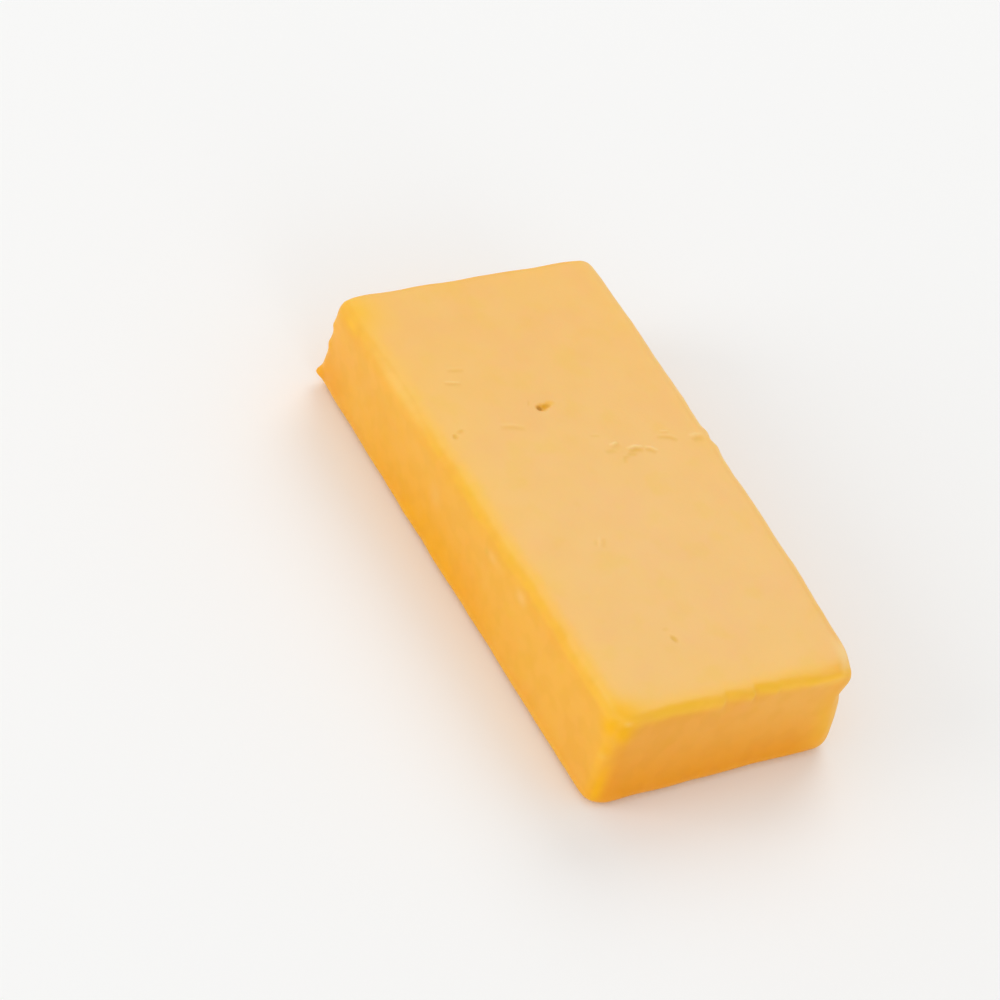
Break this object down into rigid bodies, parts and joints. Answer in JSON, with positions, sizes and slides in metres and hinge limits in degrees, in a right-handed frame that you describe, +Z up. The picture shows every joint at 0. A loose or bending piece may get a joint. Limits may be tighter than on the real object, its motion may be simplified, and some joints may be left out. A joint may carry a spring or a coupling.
{
  "type": "cheddar block",
  "caption": "Hand-cut rectangular block of orange cheddar with rounded edges and a few small eyes in its upper face.",
  "frame": {"origin": "centre of the block's box, on the face that it lies on", "axes": "+X along the length towards the front end, +Y across the width to the right side, +Z up through the thickness"},
  "size_m": [0.1289, 0.0638, 0.0266],
  "materials": {
    "cheese": "waxy satin cheddar: pale apricot-yellow cut faces, deeper golden yellow worn edges"
  },
  "bodies": {
    "root": {"cheddar_block": "cheese"}
  },
  "joints": []
}
